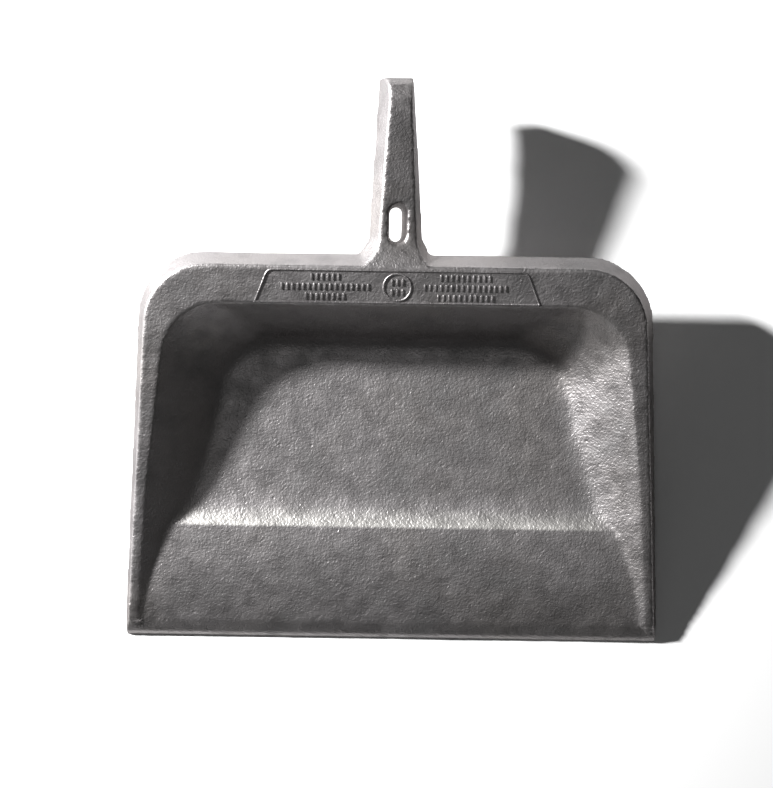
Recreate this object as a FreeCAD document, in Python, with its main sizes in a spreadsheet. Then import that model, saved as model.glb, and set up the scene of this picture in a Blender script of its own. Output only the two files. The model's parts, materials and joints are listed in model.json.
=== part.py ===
import FreeCAD, Part
import math
import os
import Sketcher
from FreeCAD import Placement, Rotation, Vector

# One-piece cast dustpan: a shallow scoop with a sloping rim, a skirt and a short bar handle.
# +Z is up, +Y runs from the lip to the end of the handle, X is the width.
# The origin is on the ground, in the middle of the overall width and length.

SIZES = [
    ("length", 256.4, "overall length, lip to the foot of the handle's end face"),
    # rim plane and outline: distances along the rim plane, from the lip
    ("rim_angle", 12.65, "slope of the rim plane, degrees"),
    ("rim_front", 4.4, "height of the rim plane above the lip"),
    ("front_margin", 6.0, "how far the blanks reach in front of the lip"),
    ("outer_front", 121.9, "half width of the rim's outer edge at the lip"),
    ("outer_back", 113.3, "half width where side and back edges would cross"),
    ("outer_run", 174.8, "lip to the rim's back outer edge"),
    ("outer_radius", 28.0, "corner radius of the rim's outer edge"),
    ("rim_side_front", 3.3, "width of the rim's side at the lip"),
    ("rim_side_middle", 4.5, "width of the rim's side at its middle station"),
    ("middle_run", 70.0, "lip to the middle station"),
    ("rim_side_back", 9.1, "width of the rim's side where inner side and back edges would cross"),
    ("rim_back", 17.4, "width of the rim's back"),
    ("inner_radius", 26.0, "corner radius of the rim's inner edge"),
    # scoop walls, given as insets at the full wall depth below the rim plane
    ("wall_depth", 34.0, "depth at which the insets are measured"),
    ("inset_front", 78.0, "side wall inset at the lip"),
    ("inset_middle", 55.0, "side wall inset at the middle station"),
    ("inset_side_back", 31.5, "side wall inset at the back"),
    ("inset_back", 29.0, "back wall inset"),
    ("foot_corner", 24.0, "corner radius at the full wall depth"),
    ("wall_drop", 6.2, "vertical shift between the inside and outside of the walls"),
    # floor, crest and lip, as heights and distances from the lip
    ("floor_top", 5.45, "height of the floor at the foot of the crest's apron"),
    ("floor_slope", 2.2, "rise of the floor towards the back, degrees"),
    ("lip_foot", 2.3, "depth of the lip's leaning front face"),
    ("lip_rise", 2.4, "height of the lip's leaning front face"),
    ("bevel_run", 7.0, "lip to the start of the ramp"),
    ("bevel_rise", 4.4, "height of the start of the ramp"),
    ("rim_end_run", 8.5, "lip to where the rim's sloping front end reaches the rim plane"),
    ("crest_run", 52.0, "lip to the crest"),
    ("crest_rise", 9.0, "height of the crest"),
    ("ramp_crown", 0.4, "how far the ramp's two end slopes would cross above the crest"),
    ("steep_run", 5.0, "crest to the foot of its steep back slope"),
    ("steep_foot", 1.05, "height of that foot above the floor"),
    ("steep_radius", 10.0, "hollow rounding at that foot"),
    ("apron_run", 13.0, "crest to the foot of the gentle apron behind the steep slope"),
    ("ramp_wall", 4.4, "thickness under the crest"),
    ("ramp_hollow", 1.5, "crest to the highest line of the hollow under the ramp"),
    ("lip_sole", 9.0, "width of the flat under the lip"),
    ("floor_sole", 7.9, "crest to the front of the flat under the floor"),
    # rim plate and skirt
    ("plate_wall", 4.5, "thickness of the rim plate"),
    ("skirt_wall", 4.0, "thickness of the skirt"),
    ("skirt_draft", 15.0, "draft of the skirt, degrees"),
    ("skirt_sole", 8.0, "lip to where the skirt leaves the ground"),
    ("skirt_back_drop", 12.6, "rim's back edge down to the skirt's lower edge at the back"),
    ("skirt_back_reach", 6.4, "rim's back edge to the skirt's lower edge, along the ground"),
    # handle bar: heights are above the rim's back edge
    ("bar_gap", 13.4, "rim's back edge to the start of the bar, along the ground"),
    ("root_top_width", 17.2, "top width at the start"),
    ("root_foot_width", 25.1, "underside width at the start"),
    ("root_top", -3.7, "height of the top at the start"),
    ("root_foot", -16.0, "height of the underside at the start"),
    ("mid_share", 0.43, "place of the middle section as a share of the bar"),
    ("mid_top_width", 13.9, "top width at the middle section"),
    ("mid_foot_width", 21.2, "underside width at the middle section"),
    ("mid_top", 2.3, "height of the top at the middle section"),
    ("mid_foot", -13.0, "height of the underside at the middle section"),
    ("end_top_width", 9.6, "top width at the end"),
    ("end_foot_width", 16.1, "underside width at the end"),
    ("end_top", 9.8, "height the top line reaches above the end face's foot"),
    ("end_foot", -13.7, "height of the underside at the end"),
    ("end_lean", 9.1, "how far the end face leans back over its height"),
    ("end_corner", 3.6, "height where the end's upright and leaning faces would cross"),
    ("end_radius", 10.0, "rounding between those two faces"),
    ("end_top_edge", 8.0, "height of the end face's top edge"),
    ("roll", 6.2, "roll of the bar about its length, degrees"),
    ("flare_run", 15.0, "length of the flare, from the bar to under the rim"),
    ("flare_foot", 16.0, "extra underside width of the flare on each side"),
    ("flare_top", 9.5, "extra top width of the flare on each side"),
    ("flare_rise", 3.0, "extra height of the flare"),
    # hanging slot
    ("slot_run", 6.2, "start of the bar to the middle of the slot"),
    ("slot_width", 8.6, "width of the slot in the top face"),
    ("slot_length", 18.5, "length of the slot in the top face"),
    ("slot_draft", 7.5, "draft of the slot, degrees"),
    ("slot_level", -2.5, "height of the top face at the slot"),
    ("slot_shift", 0.5, "sideways place of the slot"),
    # raised marks on the back of the rim
    ("mark_rise", 0.42, "height of the raised marks"),
    ("panel_shift", 0.5, "sideways place of the panel"),
    ("bead_width", 0.75, "width of the raised bead"),
    ("bead_foot", 65.2, "half width of the bead's frame at the scoop"),
    ("bead_head", 59.2, "half width of the bead's frame at the outer edge"),
    ("bead_inset", 0.3, "bead to the rim's inner edge"),
    ("bead_margin", 1.5, "bead to the rim's outer edge"),
    ("bead_radius", 3.8, "corner radius of the bead's frame"),
    ("panel_seat", 0.487, "middle of the ring as a share of the room inside the bead"),
    ("ring_share", 0.4751, "outer radius of the ring as a share of the room inside the bead"),
    ("ring_wall", 0.9, "width of the ring"),
    ("tick_width", 0.8, "width of one tick"),
    ("tick_share", 0.2221, "length of one tick as a share of the room inside the bead"),
    ("tick_pitch", 2.45, "pitch of the ticks along a row"),
    ("row_share", 0.3233, "pitch of the rows as a share of the room inside the bead"),
    ("rows_left", -32.8, "middle of the left rows from the middle of the ring"),
    ("rows_right", 30.9, "middle of the right rows from the middle of the ring"),
]

WIDE = 400.0            # reach of the cutting bodies, well past every size of the part
DEEP = 120.0            # depth of the cutting bodies
CUT_LEAN = 2.0          # how far the front cutting block leans back over its height
ABOVE_RIM = "12"        # how far the hollow's cutting bodies stand above the rim plane
RIM_STEP = "0.001"      # straight step at the top of the hollow, before its walls lean in
ARC_SHARE = 0.98        # share of the ramp's half run that its arc takes up
FULL_ROUND = 0.9999     # share of the slot's half width taken by its corner rounding

doc = FreeCAD.newDocument("dustpan")
sheet = doc.addObject("Spreadsheet::Sheet", "Sizes")
for row, (alias, value, note) in enumerate(SIZES, start=1):
    sheet.set("A%d" % row, alias)
    sheet.set("B%d" % row, str(value))
    sheet.setAlias("B%d" % row, alias)
    sheet.set("C%d" % row, note)
doc.recompute()


def cell(text):
    """Turn a formula written with {size} names into one that reads the sheet."""
    for alias, _, _ in SIZES:
        text = text.replace("{%s}" % alias, "Sizes.%s" % alias)
    return text


def value(text):
    """The present value of a formula over the sheet."""
    result = sheet.evalExpression(cell(text))
    return float(getattr(result, "Value", result))


def new_body(name):
    body = doc.addObject("PartDesign::Body", name)
    body.Label = name
    return body


def new_sketch(body, name, plane, turn=None, base=("0", "0", "0")):
    """A sketch on one of the body's own planes. turn is (axis, degrees); base is its offset."""
    sketch = body.newObject("Sketcher::SketchObject", name)
    support = [item for item in body.Origin.OriginFeatures if item.Role == plane][0]
    sketch.AttachmentSupport = [(support, "")]
    sketch.MapMode = "FlatFace"
    place = [value(text) for text in base]
    axis, angle = turn if turn else (Vector(0, 0, 1), "0")
    sketch.AttachmentOffset = Placement(Vector(*place), Rotation(axis, value(angle)))
    for letter, text in zip("xyz", base):
        sketch.setExpression(".AttachmentOffset.Base.%s" % letter, "(" + cell(text) + ") * 1 mm")
    if turn:
        sketch.setExpression(".AttachmentOffset.Rotation.Angle", "(" + cell(angle) + ") * 1 deg")
    return sketch


def rim_sketch(body, name, depth="0", across="0"):
    """A sketch parallel to the rim plane, depth below it. Its origin is at the lip."""
    slope = "{rim_angle} * 1 deg"
    base = (
        across,
        "-{length} / 2 + (%s) * sin(%s)" % (depth, slope),
        "{rim_front} - (%s) * cos(%s)" % (depth, slope),
    )
    return new_sketch(body, name, "XY_Plane", (Vector(1, 0, 0), "{rim_angle}"), base)


def side_sketch(body, name):
    """A sketch on the length-height plane. Its origin is at the lip on the ground."""
    return new_sketch(body, name, "YZ_Plane", None, ("-{length} / 2", "0", "0"))


def pin(sketch, element, point, place):
    """Hold one point of a sketch at a place given by two formulas."""
    for kind, text in zip(("DistanceX", "DistanceY"), place):
        number = value(text)
        if abs(number) < 1e-9 and text == "0":
            axis = -2 if kind == "DistanceX" else -1
            sketch.addConstraint(Sketcher.Constraint("PointOnObject", element, point, axis))
            continue
        index = sketch.addConstraint(Sketcher.Constraint(kind, -1, 1, element, point, number))
        sketch.setExpression("Constraints[%d]" % index, cell(text))


def outline(sketch, corners):
    """A closed outline. Each corner is (across, along) or (across, along, radius)."""
    spots = [Vector(value(corner[0]), value(corner[1]), 0) for corner in corners]
    count = len(corners)
    cuts = []
    for index, corner in enumerate(corners):
        before = (spots[index - 1] - spots[index]).normalize()
        after = (spots[(index + 1) % count] - spots[index]).normalize()
        if len(corner) == 2:
            cuts.append((spots[index], spots[index], None))
            continue
        half = before.getAngle(after) / 2
        radius = value(corner[2])
        reach = radius / math.tan(half)
        middle = (before + after).normalize()
        centre = spots[index] + middle * (reach ** 2 + radius ** 2) ** 0.5
        cuts.append((spots[index] + before * reach, spots[index] + after * reach, centre))
    lines = []
    for index in range(count):
        start = cuts[index][1]
        end = cuts[(index + 1) % count][0]
        lines.append(sketch.addGeometry(Part.LineSegment(start, end), False))
    for index, corner in enumerate(corners):
        arriving = lines[index - 1]
        leaving = lines[index]
        if len(corner) == 2:
            sketch.addConstraint(Sketcher.Constraint("Coincident", arriving, 2, leaving, 1))
            pin(sketch, leaving, 1, corner)
            continue
        start, end, centre = cuts[index]
        bulge = centre + (spots[index] - centre).normalize() * (start - centre).Length
        left_turn = (start - centre).cross(end - centre).z > 0
        first, last = (1, 2) if left_turn else (2, 1)
        ends = (start, end) if left_turn else (end, start)
        arc = sketch.addGeometry(Part.Arc(ends[0], bulge, ends[1]), False)
        sketch.addConstraint(Sketcher.Constraint("Tangent", arriving, 2, arc, first))
        sketch.addConstraint(Sketcher.Constraint("Tangent", arc, last, leaving, 1))
        number = sketch.addConstraint(Sketcher.Constraint("Radius", arc, value(corner[2])))
        sketch.setExpression("Constraints[%d]" % number, cell(corner[2]))
        mark = sketch.addGeometry(Part.Point(spots[index]), True)
        pin(sketch, mark, 1, corner[:2])
        sketch.addConstraint(Sketcher.Constraint("PointOnObject", mark, 1, arriving))
        sketch.addConstraint(Sketcher.Constraint("PointOnObject", mark, 1, leaving))


def mirrored(corners):
    """The given right-hand corners, front to back, followed by their left-hand twins."""
    left = [("-(%s)" % corner[0],) + tuple(corner[1:]) for corner in reversed(corners)]
    return list(corners) + left


def pad(body, name, sketch, length, backwards=False, draft=None, midplane=False):
    feature = body.newObject("PartDesign::Pad", name)
    feature.Profile = sketch
    feature.Length = value(length)
    feature.setExpression("Length", cell(length))
    feature.Reversed = backwards
    feature.Midplane = midplane
    if draft:
        feature.TaperAngle = value(draft)
        feature.setExpression("TaperAngle", cell(draft))
    sketch.Visibility = False
    return feature


def loft(body, name, sketches, ruled):
    feature = body.newObject("PartDesign::AdditiveLoft", name)
    feature.Profile = sketches[0]
    feature.Sections = sketches[1:]
    feature.Ruled = ruled
    return feature


def side_block(name, corners):
    """A block across the whole width, drawn on the length-height plane."""
    body = new_body(name)
    sketch = side_sketch(body, name + "_profile")
    outline(sketch, corners)
    pad(body, name + "_pad", sketch, str(WIDE), midplane=True)
    return body


def cut_away(name, base, *tools):
    """Cut each tool in turn out of the base; the last cut carries the name."""
    for number, tool in enumerate(tools, start=1):
        last = number == len(tools)
        result = doc.addObject("Part::Cut", name if last else "%s_cut_%d" % (name, number))
        result.Base = base
        result.Tool = tool
        base = result
    base.Label = name
    return base


# ---- places that many pieces share -----------------------------------------------------------

RIM_EDGE_RUN = "({outer_run} * cos({rim_angle} * 1 deg))"
RIM_EDGE_RISE = "({rim_front} + {outer_run} * sin({rim_angle} * 1 deg))"
INNER_FRONT = "({outer_front} - {rim_side_front})"
INNER_MIDDLE = ("({outer_front} - ({outer_front} - {outer_back}) * ({middle_run} + {front_margin})"
                " / ({outer_run} + {front_margin}) - {rim_side_middle})")
INNER_BACK = "({outer_back} - {rim_side_back})"
INNER_RUN = "({outer_run} - {rim_back})"
BAR_START = "(%s + {bar_gap})" % RIM_EDGE_RUN
BAR_MIDDLE = "(%s + ({length} - %s) * {mid_share})" % (BAR_START, BAR_START)

# ---- outlines on the rim plane ---------------------------------------------------------------

OUTER = mirrored([
    ("{outer_front}", "-{front_margin}"),
    ("{outer_back}", "{outer_run}", "{outer_radius}"),
])
INNER = mirrored([
    (INNER_FRONT, "-{front_margin}"),
    (INNER_MIDDLE, "{middle_run}"),
    (INNER_BACK, INNER_RUN, "{inner_radius}"),
])
FOOT = mirrored([
    (INNER_FRONT + " - {inset_front}", "-{front_margin}"),
    (INNER_MIDDLE + " - {inset_middle}", "{middle_run}"),
    (INNER_BACK + " - {inset_side_back}", INNER_RUN + " - {inset_back}", "{foot_corner}"),
])


def flared_walls(name, drop, rise):
    """A block inside the rim's inner edge to depth drop, then narrowing to the foot outline."""
    body = new_body(name)
    top = rim_sketch(body, name + "_top", "-(%s)" % rise)
    outline(top, INNER)
    pad(body, name + "_block", top, "%s + %s" % (rise, drop), backwards=True)
    upper = rim_sketch(body, name + "_upper", drop)
    outline(upper, INNER)
    lower = rim_sketch(body, name + "_lower", "%s + {wall_depth}" % drop)
    outline(lower, FOOT)
    loft(body, name + "_walls", [upper, lower], True)
    return body


# ---- cutting blocks --------------------------------------------------------------------------

front_cut = side_block("front_cut", [
    ("-%s" % DEEP, "-%s" % DEEP),
    ("0", "-%s" % DEEP),
    ("0", "0"),
    ("{lip_foot}", "{lip_rise}"),
    ("{bevel_run}", "{bevel_rise}"),
    ("{bevel_run} + %s" % CUT_LEAN, "%s" % DEEP),
    ("-%s" % DEEP, "%s" % DEEP),
])
rim_end_cut = side_block("rim_end_cut", [
    ("-%s" % DEEP, "-%s" % DEEP),
    ("0", "-%s" % DEEP),
    ("0", "0"),
    ("{lip_foot}", "{lip_rise}"),
    ("{rim_end_run}", "{rim_front} + {rim_end_run} * tan({rim_angle} * 1 deg)"),
    ("{rim_end_run} * 2 - {lip_foot}",
     "({rim_front} + {rim_end_run} * tan({rim_angle} * 1 deg)) * 2 - {lip_rise}"),
    ("{rim_end_run} * 2 - {lip_foot}", "%s" % DEEP),
    ("-%s" % DEEP, "%s" % DEEP),
])
# The ramp's top is one arc between its two end slopes, which would cross over its middle.
HALF_RAMP = "(({crest_run} - {bevel_run}) / 2)"
FRONT_SLOPE = "(({crest_rise} + {ramp_crown} - {bevel_rise}) / %s)" % HALF_RAMP
BACK_SLOPE = "({ramp_crown} / %s)" % HALF_RAMP
ramp_arc = "%s * %s / tan((atan(%s) + atan(%s)) / 2)" % (
    HALF_RAMP, ARC_SHARE, FRONT_SLOPE, BACK_SLOPE,
)
floor_toe = "{crest_run} + {apron_run}"
above_floor = side_block("above_floor", [
    ("-{bevel_run}", "{bevel_rise} - 2 * {bevel_run} * %s" % FRONT_SLOPE),
    ("({crest_run} + {bevel_run}) / 2", "{crest_rise} + {ramp_crown}", ramp_arc),
    ("{crest_run}", "{crest_rise}"),
    ("{crest_run} + {steep_run}", "{floor_top} + {steep_foot}", "{steep_radius}"),
    (floor_toe, "{floor_top}"),
    ("{length}", "{floor_top} + ({length} - (%s)) * tan({floor_slope} * 1 deg)" % floor_toe),
    ("{length}", "%s" % DEEP),
    ("-{bevel_run}", "%s" % DEEP),
])
under_floor = side_block("under_floor", [
    ("-%s" % DEEP, "-%s" % DEEP),
    ("{length} * 2", "-%s" % DEEP),
    ("{length} * 2", "0"),
    ("{crest_run} + {floor_sole}", "0"),
    ("{crest_run} - {ramp_hollow}", "{crest_rise} - {ramp_wall}"),
    ("{lip_sole}", "0"),
    ("-%s" % DEEP, "0"),
])
skirt_slope = "((%s - {skirt_back_drop}) / (%s + {skirt_back_reach} - {skirt_sole}))" % (
    RIM_EDGE_RISE, RIM_EDGE_RUN,
)
under_skirt = side_block("under_skirt", [
    ("-%s" % DEEP, "-%s" % DEEP),
    ("{length} * 2", "-%s" % DEEP),
    ("{length} * 2", "({length} * 2 - {skirt_sole}) * " + skirt_slope),
    ("{skirt_sole}", "0"),
    ("-%s" % DEEP, "0"),
])

# ---- scoop -----------------------------------------------------------------------------------

cavity_walls = flared_walls("cavity_walls", RIM_STEP, ABOVE_RIM)
cavity = doc.addObject("Part::Common", "cavity")
cavity.Base = cavity_walls
cavity.Tool = above_floor
scoop_blank = flared_walls("scoop_blank", "{wall_drop}", "0")
tray = cut_away("tray", scoop_blank, front_cut, under_floor, cavity)

# ---- rim with its skirt ----------------------------------------------------------------------

rim_blank = new_body("rim_blank")
rim_top = rim_sketch(rim_blank, "rim_top")
outline(rim_top, OUTER)
pad(rim_blank, "rim_pad", rim_top, "{wall_depth}", backwards=True, draft="{skirt_draft}")

mouth = new_body("mouth")
mouth_top = rim_sketch(mouth, "mouth_top", "-" + ABOVE_RIM)
outline(mouth_top, INNER)
pad(mouth, "mouth_pad", mouth_top, str(DEEP), backwards=True)

channel = new_body("channel")
channel_top = rim_sketch(channel, "channel_top", "{plate_wall}")
widen = "{plate_wall} * tan({skirt_draft} * 1 deg) - {skirt_wall}"
outline(channel_top, mirrored([
    ("{outer_front} + %s" % widen, "-{front_margin}"),
    ("{outer_back} + %s" % widen, "{outer_run} + %s" % widen, "{outer_radius} + %s" % widen),
]))
pad(channel, "channel_pad", channel_top, "{wall_depth}", backwards=True, draft="{skirt_draft}")

rim_flange = cut_away("rim_flange", rim_blank, rim_end_cut, under_skirt, mouth, channel)

# ---- handle ----------------------------------------------------------------------------------


def bar_section(body, name, run, heights, widths, roll="{roll}"):
    """A trapezoid across the bar, rolled about its middle. Underside first, then top."""
    foot, top = ("%s + %s" % (RIM_EDGE_RISE, height) for height in heights)
    foot_width, top_width = widths
    middle = "(%s + %s) / 2" % (foot, top)
    along = "{length} / 2 - (%s)" % run
    turn = (Vector(0, 0, 1), "-(%s)" % roll)
    sketch = new_sketch(body, name, "XZ_Plane", turn, ("0", middle, along))
    half = "(%s - (%s)) / 2" % (top, foot)
    outline(sketch, [
        ("-(%s) / 2" % foot_width, "-(%s)" % half),
        ("(%s) / 2" % foot_width, "-(%s)" % half),
        ("(%s) / 2" % top_width, half),
        ("-(%s) / 2" % top_width, half),
    ])
    return sketch


bar = new_body("bar")
bar_sections = []
for place, run in (("root", BAR_START), ("mid", BAR_MIDDLE), ("end", "{length}")):
    heights = ("{%s_foot}" % place, "{%s_top}" % place)
    widths = ("{%s_foot_width}" % place, "{%s_top_width}" % place)
    bar_sections.append(bar_section(bar, "bar_%s" % place, run, heights, widths))
loft(bar, "bar_loft", bar_sections, False)

END_FOOT = "(%s + {end_foot})" % RIM_EDGE_RISE
END_OVER = "(%s + {end_top_edge} * 2 - {end_corner})" % RIM_EDGE_RISE
end_cut = side_block("end_cut", [
    ("{length}", END_FOOT),
    ("{length}", "%s + {end_corner}" % RIM_EDGE_RISE, "{end_radius}"),
    ("{length} - {end_lean} * 2", END_OVER),
    ("{length} * 2", END_OVER),
    ("{length} * 2", END_FOOT),
])

slot = new_body("slot")
slot_place = (
    "{slot_shift}", BAR_START + " + {slot_run} - {length} / 2", RIM_EDGE_RISE + " + {slot_level}",
)
slot_top = new_sketch(slot, "slot_top", "XY_Plane", (Vector(0, 1, 0), "{roll}"), slot_place)
half_slot = "{slot_width} / 2"
corner = "%s * %s" % (half_slot, FULL_ROUND)
outline(slot_top, [
    (half_slot, "-{slot_length} / 2", corner),
    (half_slot, "{slot_length} / 2", corner),
    ("-" + half_slot, "{slot_length} / 2", corner),
    ("-" + half_slot, "-{slot_length} / 2", corner),
])
pad(slot, "slot_up", slot_top, "{slot_width}")
pad(slot, "slot_down", slot_top, "{wall_depth} / 2", backwards=True, draft="-{slot_draft}")

# The flare widens and rises from the bar to the skirt. Each step: share of the flare's run
# back from the bar, then shares of its extra foot width, top width, height and of the roll.
FLARE_STEPS = [
    (1.00, 1.00, 1.00, 1.00, 0.00),
    (0.70, 0.60, 0.42, 0.80, 0.35),
    (0.40, 0.27, 0.12, 0.32, 0.75),
    (0.00, 0.00, 0.00, 0.00, 1.00),
]
flare = new_body("flare")
flare_sections = []
for number, (back, foot_share, top_share, rise_share, roll_share) in enumerate(FLARE_STEPS):
    run = BAR_START + " - {flare_run} * %s" % back
    heights = ("{root_foot}", "{root_top} + {flare_rise} * %s" % rise_share)
    widths = (
        "{root_foot_width} + {flare_foot} * 2 * %s" % foot_share,
        "{root_top_width} + {flare_top} * 2 * %s" % top_share,
    )
    name = "flare_section_%d" % number
    flare_sections.append(bar_section(flare, name, run, heights, widths, "{roll} * %s" % roll_share))
loft(flare, "flare_loft", flare_sections, False)

handle = cut_away("handle", bar, end_cut, slot)
handle_root = cut_away("handle_root", flare, rim_blank, slot)

# ---- raised marks on the back of the rim -----------------------------------------------------

bead_back = "{outer_run} - {bead_margin}"
bead_front = INNER_RUN + " + {bead_inset}"


def bead_outline(inset):
    """The bead's frame, moved inwards by inset."""
    slant = "(({bead_foot} - {bead_head}) / {rim_back})"
    side = "(%s) * sqrt(1 + %s ^ 2)" % (inset, slant)
    front = "%s + %s" % (bead_front, inset)
    back = "%s - (%s)" % (bead_back, inset)
    foot = "{bead_foot} - %s - (%s) * %s" % (side, inset, slant)
    head = "{bead_head} - %s + (%s) * %s" % (side, inset, slant)
    return mirrored([(foot, front), (head, back, "{bead_radius} - (%s)" % inset)])


panel_bead = new_body("panel_bead")
bead_sketch = rim_sketch(panel_bead, "bead_outline", "0", "{panel_shift}")
outline(bead_sketch, bead_outline("0"))
pad(panel_bead, "bead_pad", bead_sketch, "{mark_rise}")
bead_inside = rim_sketch(panel_bead, "bead_inside", "-{mark_rise}", "{panel_shift}")
outline(bead_inside, bead_outline("{bead_width}"))
bead_pocket = panel_bead.newObject("PartDesign::Pocket", "bead_pocket")
bead_pocket.Profile = bead_inside
bead_pocket.Length = value("{mark_rise}")
bead_pocket.setExpression("Length", cell("{mark_rise}"))

BEAD_ROOM = "({rim_back} - {bead_inset} - {bead_margin} - {bead_width} * 2)"
ring_run = bead_front + " + {bead_width} + %s * {panel_seat}" % BEAD_ROOM
ring_radius = BEAD_ROOM + " * {ring_share}"
panel_ring = new_body("panel_ring")
ring_sketch = rim_sketch(panel_ring, "ring_outline", "0", "{panel_shift}")
for radius in (ring_radius, ring_radius + " - {ring_wall}"):
    spot = Vector(0, value(ring_run), 0)
    circle = ring_sketch.addGeometry(Part.Circle(spot, Vector(0, 0, 1), value(radius)), False)
    number = ring_sketch.addConstraint(Sketcher.Constraint("Radius", circle, value(radius)))
    ring_sketch.setExpression("Constraints[%d]" % number, cell(radius))
    pin(ring_sketch, circle, 3, ("0", ring_run))
pad(panel_ring, "ring_pad", ring_sketch, "{mark_rise}")


def tick_rows(name, middle, counts):
    """Rows of plain raised ticks, one row for each count, centred on middle."""
    body = new_body(name)
    body.AllowCompound = True
    half_tick = BEAD_ROOM + " * {tick_share} / 2"
    for row, count in enumerate(counts):
        rows_up = (len(counts) - 1) / 2 - row
        along = "%s + %s * {row_share} * %s" % (ring_run, BEAD_ROOM, rows_up)
        first = "%s - {tick_pitch} * %s" % (middle, (count - 1) / 2)
        sketch = rim_sketch(body, "%s_row_%d" % (name, row), "0", "{panel_shift}")
        outline(sketch, [
            (first + " - {tick_width} / 2", "%s - %s" % (along, half_tick)),
            (first + " + {tick_width} / 2", "%s - %s" % (along, half_tick)),
            (first + " + {tick_width} / 2", "%s + %s" % (along, half_tick)),
            (first + " - {tick_width} / 2", "%s + %s" % (along, half_tick)),
        ])
        tick = pad(body, "%s_tick_%d" % (name, row), sketch, "{mark_rise}")
        pattern = body.newObject("PartDesign::LinearPattern", "%s_pattern_%d" % (name, row))
        pattern.Originals = [tick]
        pattern.Direction = (sketch, ["H_Axis"])
        pattern.Occurrences = count
        pattern.Length = value("{tick_pitch}") * (count - 1)
        pattern.setExpression("Length", cell("{tick_pitch} * %d" % (count - 1)))
        body.Tip = pattern
    return body


marks_left = tick_rows("marks_left", "{rows_left}", (6, 17, 8))
marks_right = tick_rows("marks_right", "{rows_right}", (10, 16, 11))
marks_centre = tick_rows("marks_centre", "0", (3, 3))

# ---- check and export ------------------------------------------------------------------------

NODES = [
    tray, rim_flange, handle_root, handle,
    panel_bead, panel_ring, marks_left, marks_centre, marks_right,
]

doc.recompute()
for item in doc.Objects:
    if "Invalid" in item.State or "Error" in item.State:
        raise RuntimeError("%s did not build: %s" % (item.Label, item.getStatusString()))
for node in NODES:
    if node.Shape.isNull() or not node.Shape.isValid() or not node.Shape.Solids:
        raise RuntimeError("%s has no sound solid" % node.Label)

os.makedirs("parts", exist_ok=True)
for node in NODES:
    node.Shape.exportStep("parts/%s.step" % node.Label)
    box = node.Shape.optimalBoundingBox(False)
    print("%-14s %d solid(s) %8.0f mm3  x %.1f..%.1f  y %.1f..%.1f  z %.1f..%.1f" % (
        node.Label, len(node.Shape.Solids), node.Shape.Volume,
        box.XMin, box.XMax, box.YMin, box.YMax, box.ZMin, box.ZMax,
    ))
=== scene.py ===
"""Cast dustpan: the rough cast skin of the pan and its handle, the raised panel marks, and the stage."""

import json
import math

import bpy
import numpy as np
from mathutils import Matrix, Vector

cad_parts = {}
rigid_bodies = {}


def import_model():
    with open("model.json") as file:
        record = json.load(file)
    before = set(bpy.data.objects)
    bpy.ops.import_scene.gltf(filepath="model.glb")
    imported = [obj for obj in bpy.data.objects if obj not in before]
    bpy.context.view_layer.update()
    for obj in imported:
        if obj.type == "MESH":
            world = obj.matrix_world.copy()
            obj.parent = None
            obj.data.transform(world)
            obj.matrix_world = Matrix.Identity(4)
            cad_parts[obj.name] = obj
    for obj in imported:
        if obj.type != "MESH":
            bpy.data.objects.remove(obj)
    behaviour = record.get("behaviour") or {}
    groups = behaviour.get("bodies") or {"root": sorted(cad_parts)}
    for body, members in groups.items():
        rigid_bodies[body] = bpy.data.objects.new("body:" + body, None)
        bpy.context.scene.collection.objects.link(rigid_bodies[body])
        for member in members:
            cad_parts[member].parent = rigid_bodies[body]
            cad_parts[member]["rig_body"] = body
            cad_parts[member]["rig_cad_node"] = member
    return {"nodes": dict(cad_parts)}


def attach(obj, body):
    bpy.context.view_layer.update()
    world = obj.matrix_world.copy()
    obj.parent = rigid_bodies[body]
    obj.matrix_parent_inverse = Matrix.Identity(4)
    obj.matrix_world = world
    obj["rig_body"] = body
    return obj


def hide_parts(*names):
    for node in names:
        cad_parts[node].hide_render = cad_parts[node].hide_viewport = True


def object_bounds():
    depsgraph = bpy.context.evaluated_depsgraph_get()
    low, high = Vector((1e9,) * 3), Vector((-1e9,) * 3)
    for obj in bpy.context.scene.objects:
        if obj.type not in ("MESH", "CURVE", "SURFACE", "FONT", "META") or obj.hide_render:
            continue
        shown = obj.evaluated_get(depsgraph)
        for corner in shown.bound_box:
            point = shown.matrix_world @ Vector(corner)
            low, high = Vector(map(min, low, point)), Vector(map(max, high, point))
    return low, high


bl_info = {
    "name": "Cast dustpan",
    "version": (1, 0, 0),
    "blender": (4, 5, 0),
    "location": "3D View > Sidebar > Dustpan",
    "description": "Builds the sand-cast skin of a dustpan around its design solids",
    "category": "Object",
}

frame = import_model()
CAD_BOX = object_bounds()

PAN_NODES = ("tray", "rim_flange", "handle_root", "handle")
MARK_NODES = ("panel_bead", "panel_ring", "marks_left", "marks_centre", "marks_right")


# ---- sizes and colours -----------------------------------------------------------------------


def length(name, text, default):
    return bpy.props.FloatProperty(
        name=name, description=text, default=default, unit="LENGTH", precision=5
    )


def amount(name, text, default):
    return bpy.props.FloatProperty(name=name, description=text, default=default)


def colour(name, text, default):
    return bpy.props.FloatVectorProperty(
        name=name, description=text, default=default, subtype="COLOR", size=3, min=0, max=1
    )


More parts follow.
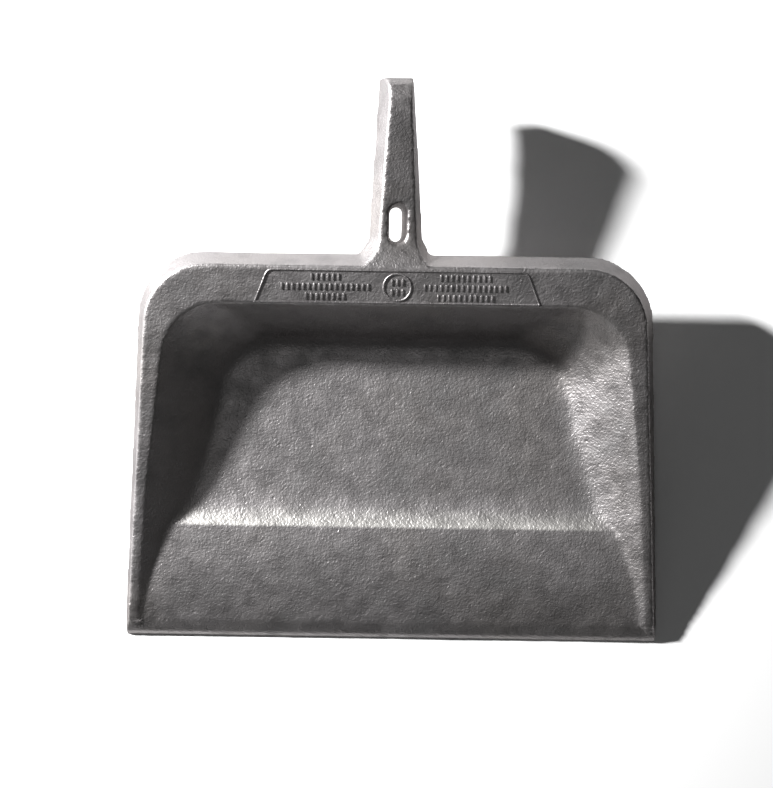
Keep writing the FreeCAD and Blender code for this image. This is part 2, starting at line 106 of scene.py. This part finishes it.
class CastingSizes(bpy.types.PropertyGroup):
    """Sizes of the cast skin."""

    facet: length("Facet", "Edge length of the skin's faces", 0.001)
    rim_slope: bpy.props.FloatProperty(
        name="Rim slope", description="Slope of the rim plane",
        default=math.radians(12.65), subtype="ANGLE",
    )
    rim_front: length("Rim front", "Height of the rim plane above the lip", 0.0044)
    mouth_front: length("Mouth front", "Half width of the scoop at the lip", 0.1186)
    mouth_middle: length("Mouth middle", "Half width of the scoop at its middle", 0.1138)
    mouth_back: length("Mouth back", "Half width of the scoop where side and back cross", 0.1042)
    mouth_middle_run: length("Mouth middle run", "Lip to the middle, along the rim", 0.070)
    mouth_run: length("Mouth run", "Lip to the back inner edge, along the rim", 0.1574)
    mouth_corner: length("Mouth corner", "Corner radius of the inner edge", 0.026)
    front_margin: length("Front margin", "How far the cutting outline passes the lip", 0.006)
    corner_share: amount("Corner share", "Share of the corner radius given to the bevel", 0.95)
    cutter_reach: length("Cutter reach", "Depth of the cutting prism below the rim plane", 0.06)
    cutter_height: length("Cutter height", "Full height of the cutting prism", 0.09)
    crest_run: length("Crest run", "Lip to the crest", 0.052)
    handle_start: length("Handle start", "Lip to where the bar begins", 0.18396)
    edge_kept: length("Edge kept", "Band inside the inner edge that isn't filleted", 0.002)
    crest_kept: length("Crest kept", "Band beside the crest that isn't filleted", 0.0012)
    crest_full: length("Crest full", "Distance from the crest where filleting is full", 0.005)
    wall_kept: length("Wall kept", "Depth of the wall below the rim that isn't filleted", 0.003)
    edge_passes: bpy.props.IntProperty(
        name="Edge passes", description="Rounds of smoothing over the whole skin", default=2,
    )
    fillet_passes: bpy.props.IntProperty(
        name="Fillet passes", description="Rounds of smoothing at the scoop's foot", default=110,
    )
    swell: length("Swell", "Height of the slow unevenness of the skin", 0.0002)
    swell_width: length("Swell width", "Width of the slow unevenness", 0.035)
    lump: length("Lump", "Height of the small lumps", 0.00005)
    lump_width: length("Lump width", "Width of the small lumps", 0.006)


class MarkSizes(bpy.types.PropertyGroup):
    """Sizes of the raised marks."""

    root: length("Root", "How far the marks reach into the rim", 0.0004)
    edge: length("Edge", "Rounding of the marks' edges", 0.00022)


class FinishSettings(bpy.types.PropertyGroup):
    """Colours and roughness of the bare cast metal."""

    metal: colour("Metal", "Usual colour of the cast skin", (0.352, 0.336, 0.338))
    dark: colour("Dark", "Colour of the darker patches", (0.275, 0.266, 0.266))
    warm: colour("Warm", "Colour of the warmer patches", (0.335, 0.317, 0.312))
    grazing: colour("Grazing", "Colour of reflections at a flat angle", (0.15, 0.15, 0.15))
    # The next three settings give a painted highlight: a lighter colour on the crest's back slope, which
    # faces the lamp.
    painted_highlight: colour("Highlight", "Colour of the worn band behind the crest", (0.60, 0.585, 0.565))
    painted_highlight_width: length("Worn width", "Width of the worn band", 0.009)
    painted_highlight_reach: length("Worn reach", "Half length of the worn band", 0.1)
    roughness: amount("Roughness", "Roughness of the cast skin", 0.45)
    grain: length("Grain", "Width of one grain of the sand skin", 0.0011)
    relief: length("Relief", "Height of the grain", 0.00007)


class StageSizes(bpy.types.PropertyGroup):
    """Camera, light and floor."""

    camera_height: length("Camera height", "Camera above the floor", 1.8375)
    camera_x: length("Camera x", "Camera to the right of the origin", -0.00366)
    camera_y: length("Camera y", "Camera beyond the origin", -0.0152)
    view_width: length("View width", "Width of the floor that the camera sees", 0.3581)
    camera_turn: bpy.props.FloatProperty(
        name="Camera turn", description="Turn of the camera about the vertical",
        default=math.radians(0.87), subtype="ANGLE",
    )
    lamp_x: length("Lamp x", "Lamp to the right of the origin", -0.614)
    lamp_y: length("Lamp y", "Lamp beyond the origin", 0.304)
    lamp_height: length("Lamp height", "Lamp above the floor", 0.335)
    lamp_size: length("Lamp size", "Diameter of the lamp", 0.060)
    lamp_power: amount("Lamp power", "Power of the lamp in watts", 29.0)
    sky_height: length("Overhead height", "Soft overhead panel above the floor", 2.2)
    sky_width: length("Overhead width", "Width of the soft overhead panel", 0.9)
    sky_power: amount("Overhead power", "Power of the soft overhead panel in watts", 1.5)
    fill: amount("Fill", "Strength of the soft light from all round", 0.052)
    floor_shade: colour("Floor", "Colour of the floor", (0.85, 0.85, 0.85))


# ---- mesh helpers ----------------------------------------------------------------------------


def only(obj):
    """Select this object alone and make it active."""
    if bpy.context.object and bpy.context.object.mode != "OBJECT":
        bpy.ops.object.mode_set(mode="OBJECT")
    bpy.ops.object.select_all(action="DESELECT")
    obj.select_set(True)
    bpy.context.view_layer.objects.active = obj
    return obj


def finish_modifier(obj, kind, **settings):
    """Add a modifier, set it up and apply it."""
    only(obj)
    modifier = obj.modifiers.new(kind.title(), kind)
    for name, setting in settings.items():
        setattr(modifier, name, setting)
    bpy.ops.object.modifier_apply(modifier=modifier.name)


def merged_copy(nodes, name):
    """One new object from copies of these design solids, with doubled points merged."""
    bpy.ops.object.select_all(action="DESELECT")
    for node in nodes:
        frame["nodes"][node].select_set(True)
    bpy.context.view_layer.objects.active = frame["nodes"][nodes[0]]
    bpy.ops.object.duplicate()
    if len(nodes) > 1:
        bpy.ops.object.join()
    obj = bpy.context.view_layer.objects.active
    obj.name = name
    obj.data.name = name
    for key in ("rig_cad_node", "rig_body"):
        if key in obj:
            del obj[key]
    obj.parent = None
    bpy.ops.object.mode_set(mode="EDIT")
    bpy.ops.mesh.select_all(action="SELECT")
    bpy.ops.mesh.remove_doubles(threshold=1e-6)
    bpy.ops.object.mode_set(mode="OBJECT")
    return obj


def plain_copy(obj, name):
    """A second object with a mesh of its own."""
    only(obj)
    bpy.ops.object.duplicate()
    twin = bpy.context.view_layer.objects.active
    twin.name = name
    twin.data.name = name
    return twin


def read(obj, what):
    """Vertex coordinates ("co") or normals ("normal") as an array."""
    data = np.zeros(len(obj.data.vertices) * 3, np.float32)
    obj.data.vertices.foreach_get(what, data)
    return data.reshape(-1, 3).astype(float)


def ease(value, low, high):
    """0 below low, 1 above high, smooth between."""
    share = np.clip((value - low) / (high - low), 0, 1)
    return share * share * (3 - 2 * share)


def weigh(obj, name, weights, steps=20):
    """A vertex group with these weights, in a few even steps."""
    group = obj.vertex_groups.new(name=name)
    levels = np.round(np.clip(weights, 0, 1) * steps).astype(int)
    for level in range(1, steps + 1):
        chosen = np.flatnonzero(levels == level)
        if len(chosen):
            group.add(chosen.tolist(), level / steps, "REPLACE")
    return group


def from_lip(points):
    """Distance of each point from the lip, along the ground."""
    return points[:, 1] - CAD_BOX[0].y


def below_rim(points, sizes):
    """Depth of each point below the rim plane."""
    level = sizes.rim_front + from_lip(points) * math.tan(sizes.rim_slope)
    return (level - points[:, 2]) * math.cos(sizes.rim_slope)


def inside_mouth(points, sizes):
    """Distance of each point inside the scoop's mouth, leaving out the back corners."""
    run = from_lip(points) / math.cos(sizes.rim_slope)
    stations = (-sizes.front_margin, sizes.mouth_middle_run, sizes.mouth_run)
    halves = (sizes.mouth_front, sizes.mouth_middle, sizes.mouth_back)
    beside = np.interp(run, stations, halves) - np.abs(points[:, 0])
    return np.minimum(beside, sizes.mouth_run - run)


# ---- cast metal ------------------------------------------------------------------------------


def node(tree, kind, place=(0, 0), **inputs):
    """Add a shader node. Inputs are values or the output sockets of other nodes."""
    new = tree.nodes.new(kind)
    new.location = place
    for name, value in inputs.items():
        socket = new.inputs[name.replace("_", " ")]
        if isinstance(value, bpy.types.NodeSocket):
            tree.links.new(value, socket)
        else:
            socket.default_value = value
    return new


def noise(tree, spot, width, detail, roughness=0.5, distortion=0.0):
    """A noise pattern whose features are width metres across."""
    new = node(tree, "ShaderNodeTexNoise", Vector=spot, Scale=1 / width, Detail=detail,
               Roughness=roughness, Distortion=distortion)
    return new.outputs["Fac"]


def spread(tree, value, low, high, to_low=0.0, to_high=1.0):
    """Stretch a value between low and high to another range."""
    new = node(tree, "ShaderNodeMapRange", Value=value)
    new.inputs["From Min"].default_value = low
    new.inputs["From Max"].default_value = high
    new.inputs["To Min"].default_value = to_low
    new.inputs["To Max"].default_value = to_high
    return new.outputs["Result"]


def mixed(tree, share, first, second):
    """Blend two colours, each a plain colour or a socket."""
    new = tree.nodes.new("ShaderNodeMix")
    new.data_type = "RGBA"
    tree.links.new(share, new.inputs["Factor"])
    for socket, value in ((new.inputs[6], first), (new.inputs[7], second)):
        if isinstance(value, bpy.types.NodeSocket):
            tree.links.new(value, socket)
        else:
            socket.default_value = (*value, 1)
    return new.outputs[2]


def times(tree, first, second):
    new = node(tree, "ShaderNodeMath")
    new.operation = "MULTIPLY"
    tree.links.new(first, new.inputs[0])
    tree.links.new(second, new.inputs[1])
    return new.outputs["Value"]


def painted_highlight_band(tree, spot, finish):
    """1 on the band just behind the crest that gets a painted highlight, 0 elsewhere."""
    crest = CAD_BOX[0].y + bpy.context.scene.dustpan_casting.crest_run
    place = node(tree, "ShaderNodeSeparateXYZ", Vector=spot).outputs
    start = spread(tree, place["Y"], crest - finish.painted_highlight_width / 8, crest)
    end = spread(tree, place["Y"], crest + finish.painted_highlight_width / 8, crest + finish.painted_highlight_width, 1, 0)
    right = spread(tree, place["X"], finish.painted_highlight_reach - finish.painted_highlight_width, finish.painted_highlight_reach, 1, 0)
    left = spread(tree, place["X"], -finish.painted_highlight_reach, finish.painted_highlight_width - finish.painted_highlight_reach)
    return times(tree, times(tree, start, end), times(tree, left, right))


def cast_metal(finish):
    """Bare sand-cast metal: grey, grainy, pitted, with smudged darker and warmer patches, and a painted
    highlight on the crest's lit back slope.
    """
    material = bpy.data.materials.get("cast_metal_skin")
    if material:
        return material
    material = bpy.data.materials.new("cast_metal_skin")
    material.use_nodes = True
    tree = material.node_tree
    shader = tree.nodes["Principled BSDF"]
    shader.inputs["Metallic"].default_value = 1.0
    shader.inputs["Specular Tint"].default_value = (*finish.grazing, 1)
    spot = node(tree, "ShaderNodeTexCoord").outputs["Object"]

    patches = spread(tree, noise(tree, spot, 0.045, 3), 0.45, 0.70)
    smudges = spread(tree, noise(tree, spot, 0.016, 4), 0.50, 0.72)
    tint = mixed(tree, patches, tuple(finish.metal), tuple(finish.warm))
    tint = mixed(tree, smudges, tint, tuple(finish.dark))
    # Painted highlight: a lighter colour on the crest's back slope, standing in for the lamp's light on
    # it.
    tint = mixed(tree, painted_highlight_band(tree, spot, finish), tint, tuple(finish.painted_highlight))
    tree.links.new(tint, shader.inputs["Base Color"])

    scuffs = noise(tree, spot, 0.008, 5)
    tree.links.new(
        spread(tree, scuffs, 0.3, 0.7, finish.roughness - 0.06, finish.roughness + 0.06),
        shader.inputs["Roughness"],
    )

    grain = noise(tree, spot, finish.grain, 1.3, 0.5, 0.6)
    coarse = noise(tree, spot, finish.grain * 2.6, 2, 0.5, 0.3)
    pits = node(tree, "ShaderNodeTexVoronoi", Vector=spot, Scale=1 / (finish.grain * 7))
    holes = spread(tree, pits.outputs["Distance"], 0.03, 0.11, -1.0, 0.0)
    coarse_bump = node(tree, "ShaderNodeBump", Height=coarse, Strength=1.0)
    coarse_bump.inputs["Distance"].default_value = finish.relief * 2
    grain_bump = node(tree, "ShaderNodeBump", Height=grain, Strength=1.0,
                      Normal=coarse_bump.outputs["Normal"])
    grain_bump.inputs["Distance"].default_value = finish.relief * 3
    hole_bump = node(tree, "ShaderNodeBump", Height=holes, Strength=0.8,
                     Normal=grain_bump.outputs["Normal"])
    hole_bump.inputs["Distance"].default_value = finish.relief * 2
    tree.links.new(hole_bump.outputs["Normal"], shader.inputs["Normal"])
    return material


def dress(obj, material):
    """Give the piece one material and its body."""
    obj.data.materials.clear()
    obj.data.materials.append(material)
    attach(obj, "root")


# ---- cast skin -------------------------------------------------------------------------------


def cloud(name, width, depth):
    texture = bpy.data.textures.new(name, "CLOUDS")
    texture.noise_scale = width
    texture.noise_depth = depth
    return texture


def blank_skin(sizes):
    """The whole casting as one even skin, with its hollows filleted and its edges softened."""
    skin = merged_copy(PAN_NODES, "casting")
    finish_modifier(skin, "REMESH", mode="VOXEL", voxel_size=sizes.facet)
    finish_modifier(skin, "SMOOTH", factor=0.5, iterations=sizes.edge_passes)

    points = read(skin, "co")
    normals = read(skin, "normal")
    depth = below_rim(points, sizes)
    inside = ease(inside_mouth(points, sizes), sizes.edge_kept, sizes.edge_kept * 3)
    from_crest = np.abs(from_lip(points) - sizes.crest_run)
    crest = ease(from_crest, sizes.crest_kept, sizes.crest_full)
    upper = ease(normals[:, 2], 0.0, 0.25)
    scoop = ease(depth, sizes.wall_kept, sizes.wall_kept * 3) * inside * upper
    weigh(skin, "scoop", scoop * crest)
    finish_modifier(skin, "SMOOTH", factor=0.5, iterations=sizes.fillet_passes, vertex_group="scoop")
    return skin


def uneven(skin, sizes):
    """Slow swells and small lumps of the sand mould, everywhere but on the flat sole."""
    heights = read(skin, "co")[:, 2]
    weigh(skin, "off_the_sole", ease(heights, sizes.lump_width / 12, sizes.lump_width / 3))
    for name, height, width, depth in (
        ("swell", sizes.swell, sizes.swell_width, 2),
        ("lump", sizes.lump, sizes.lump_width, 1),
    ):
        finish_modifier(
            skin, "DISPLACE", texture=cloud(name, width, depth), texture_coords="LOCAL",
            strength=height * 2, mid_level=0.5, vertex_group="off_the_sole",
        )


def pick_vertices(obj, indices):
    """Go into edit mode with just these vertices selected."""
    only(obj)
    bpy.ops.object.mode_set(mode="EDIT")
    bpy.ops.mesh.select_mode(type="VERT")
    bpy.ops.mesh.select_all(action="DESELECT")
    bpy.ops.object.mode_set(mode="OBJECT")
    for index in indices:
        obj.data.vertices[int(index)].select = True
    bpy.ops.object.mode_set(mode="EDIT")


def mouth_cutter(sizes):
    """A prism over the scoop's mouth, square to the rim plane."""
    bpy.ops.object.select_all(action="DESELECT")
    bpy.ops.mesh.primitive_plane_add(size=2)
    cutter = bpy.context.view_layer.objects.active
    cutter.name = "mouth_cutter"
    bpy.ops.object.mode_set(mode="EDIT")
    bpy.ops.mesh.select_all(action="SELECT")
    bpy.ops.mesh.subdivide(number_cuts=1)
    bpy.ops.object.mode_set(mode="OBJECT")
    runs = {-1: -sizes.front_margin, 0: sizes.mouth_middle_run, 1: sizes.mouth_run}
    halves = {-1: sizes.mouth_front, 0: sizes.mouth_middle, 1: sizes.mouth_back}
    spots = [vertex.co.copy() for vertex in cutter.data.vertices]
    for row, run in runs.items():
        pick_vertices(cutter, [i for i, spot in enumerate(spots) if round(spot.y) == row])
        bpy.ops.transform.resize(value=(halves[row], 1, 1), center_override=(0, 0, 0))
        bpy.ops.transform.translate(value=(0, run - row, -sizes.cutter_reach))
    corners = [i for i, spot in enumerate(spots) if round(spot.y) == 1 and round(spot.x)]
    pick_vertices(cutter, corners)
    bpy.ops.mesh.bevel(
        offset=sizes.mouth_corner * sizes.corner_share, segments=24, affect="VERTICES"
    )
    bpy.ops.mesh.select_all(action="SELECT")
    bpy.ops.mesh.extrude_region_move(TRANSFORM_OT_translate={"value": (0, 0, sizes.cutter_height)})
    bpy.ops.mesh.select_all(action="SELECT")
    bpy.ops.mesh.normals_make_consistent(inside=False)
    bpy.ops.object.mode_set(mode="OBJECT")
    cutter.rotation_euler.x = sizes.rim_slope
    cutter.location = (0, CAD_BOX[0].y, sizes.rim_front)
    bpy.ops.object.transform_apply(location=True, rotation=True, scale=True)
    return cutter


def cut_with(obj, cutter, operation):
    finish_modifier(obj, "BOOLEAN", operation=operation, object=cutter, solver="EXACT")


def cut_across(obj, level, keep_beyond):
    """Cut the piece square across its length and close the cut."""
    only(obj)
    bpy.ops.object.mode_set(mode="EDIT")
    bpy.ops.mesh.select_all(action="SELECT")
    bpy.ops.mesh.bisect(
        plane_co=(0, level, 0), plane_no=(0, 1, 0), use_fill=True,
        clear_inner=keep_beyond, clear_outer=not keep_beyond,
    )
    bpy.ops.object.mode_set(mode="OBJECT")


def smooth_shaded(obj, degrees=50):
    only(obj)
    bpy.ops.object.shade_smooth_by_angle(angle=math.radians(degrees))


class DUSTPAN_OT_casting(bpy.types.Operator):
    """Build the cast skin and part it into scoop, rim and handle"""

    bl_idname = "dustpan.casting"
    bl_label = "Cast skin"

    def execute(self, context):
        sizes = context.scene.dustpan_casting
        material = cast_metal(context.scene.dustpan_finish)
        scoop = blank_skin(sizes)
        uneven(scoop, sizes)
        scoop.name = "scoop_skin"
        handle = plain_copy(scoop, "handle_skin")
        break_line = CAD_BOX[0].y + sizes.handle_start
        cut_across(handle, break_line, True)
        cut_across(scoop, break_line, False)
        rim = plain_copy(scoop, "rim_skin")
        cutter = mouth_cutter(sizes)
        cut_with(scoop, cutter, "INTERSECT")
        cut_with(rim, cutter, "DIFFERENCE")
        bpy.data.objects.remove(cutter)
        for piece, nodes in (
            (scoop, ("tray",)), (rim, ("rim_flange", "handle_root")), (handle, ("handle",)),
        ):
            smooth_shaded(piece)
            dress(piece, material)
            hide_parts(*nodes)
            print(piece.name, len(piece.data.polygons), "faces")
        return {"FINISHED"}


# ---- raised marks ----------------------------------------------------------------------------


class DUSTPAN_OT_marks(bpy.types.Operator):
    """Soften the raised bead, ring and ticks and root them in the rim"""

    bl_idname = "dustpan.marks"
    bl_label = "Raised marks"

    def execute(self, context):
        sizes = context.scene.dustpan_marks
        casting = context.scene.dustpan_casting
        material = cast_metal(context.scene.dustpan_finish)
        down = Vector((0, math.sin(casting.rim_slope), -math.cos(casting.rim_slope)))
        for name in MARK_NODES:
            piece = merged_copy((name,), name + "_cast")
            depth = below_rim(read(piece, "co"), casting)
            pick_vertices(piece, np.flatnonzero(depth > -sizes.root / 4))
            bpy.ops.transform.translate(value=down * sizes.root)
            bpy.ops.object.mode_set(mode="OBJECT")
            finish_modifier(
                piece, "BEVEL", width=sizes.edge, segments=2, limit_method="ANGLE",
                angle_limit=math.radians(50),
            )
            smooth_shaded(piece, 60)
            dress(piece, material)
            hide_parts(name)
        return {"FINISHED"}


# ---- stage -----------------------------------------------------------------------------------


class DUSTPAN_OT_stage(bpy.types.Operator):
    """Lay the floor and set the lamp and the camera"""

    bl_idname = "dustpan.stage"
    bl_label = "Stage"

    def execute(self, context):
        stage = context.scene.dustpan_stage
        bpy.ops.object.select_all(action="DESELECT")
        bpy.ops.mesh.primitive_plane_add(size=8)
        floor = bpy.context.view_layer.objects.active
        floor.name = "floor"
        paper = bpy.data.materials.new("floor_paper")
        paper.use_nodes = True
        shader = paper.node_tree.nodes["Principled BSDF"]
        shader.inputs["Base Color"].default_value = (*stage.floor_shade, 1)
        shader.inputs["Roughness"].default_value = 0.9
        shader.inputs["Specular IOR Level"].default_value = 0.1
        floor.data.materials.append(paper)

        bpy.ops.object.light_add(type="AREA", location=(stage.lamp_x, stage.lamp_y, stage.lamp_height))
        lamp = bpy.context.view_layer.objects.active
        lamp.name = "lamp"
        lamp.data.shape = "DISK"
        lamp.data.size = stage.lamp_size
        lamp.data.energy = stage.lamp_power
        aim = -Vector(lamp.location)
        lamp.rotation_euler = aim.to_track_quat("-Z", "Y").to_euler()

        bpy.ops.object.light_add(type="AREA", location=(0, 0, stage.sky_height))
        sky = bpy.context.view_layer.objects.active
        sky.name = "overhead"
        sky.data.size = stage.sky_width
        sky.data.energy = stage.sky_power

        world = bpy.data.worlds.new("soft_fill")
        context.scene.world = world
        world.use_nodes = True
        background = world.node_tree.nodes["Background"]
        background.inputs["Color"].default_value = (1, 1, 1, 1)
        background.inputs["Strength"].default_value = stage.fill

        bpy.ops.object.camera_add(
            location=(stage.camera_x, stage.camera_y, stage.camera_height),
            rotation=(0, 0, stage.camera_turn),
        )
        camera = bpy.context.view_layer.objects.active
        camera.name = "camera"
        camera.data.sensor_fit = "HORIZONTAL"
        camera.data.sensor_width = 36
        camera.data.lens = 36 * stage.camera_height / stage.view_width
        camera.data.clip_end = 50
        context.scene.camera = camera
        context.scene.view_settings.view_transform = "Standard"
        return {"FINISHED"}


# ---- panel and registration ------------------------------------------------------------------


class DUSTPAN_PT_tools(bpy.types.Panel):
    """Lists the steps and their sizes"""

    bl_label = "Cast dustpan"
    bl_idname = "DUSTPAN_PT_tools"
    bl_space_type = "VIEW_3D"
    bl_region_type = "UI"
    bl_category = "Dustpan"

    def draw(self, context):
        for operator, group in STEPS:
            box = self.layout.box()
            box.operator(operator.bl_idname)
            settings = getattr(context.scene, group)
            for name in settings.__annotations__:
                box.prop(settings, name)


GROUPS = {
    "dustpan_casting": CastingSizes,
    "dustpan_marks": MarkSizes,
    "dustpan_finish": FinishSettings,
    "dustpan_stage": StageSizes,
}
STEPS = (
    (DUSTPAN_OT_casting, "dustpan_casting"),
    (DUSTPAN_OT_marks, "dustpan_marks"),
    (DUSTPAN_OT_stage, "dustpan_stage"),
)
CLASSES = tuple(GROUPS.values()) + tuple(step[0] for step in STEPS) + (DUSTPAN_PT_tools,)


def register():
    for item in CLASSES:
        bpy.utils.register_class(item)
    for name, group in GROUPS.items():
        setattr(bpy.types.Scene, name, bpy.props.PointerProperty(type=group))


def unregister():
    for name in GROUPS:
        delattr(bpy.types.Scene, name)
    for item in reversed(CLASSES):
        bpy.utils.unregister_class(item)


def main():
    register()
    bpy.ops.dustpan.casting()
    bpy.ops.dustpan.marks()
    bpy.ops.dustpan.stage()


if __name__ == "__main__":
    main()
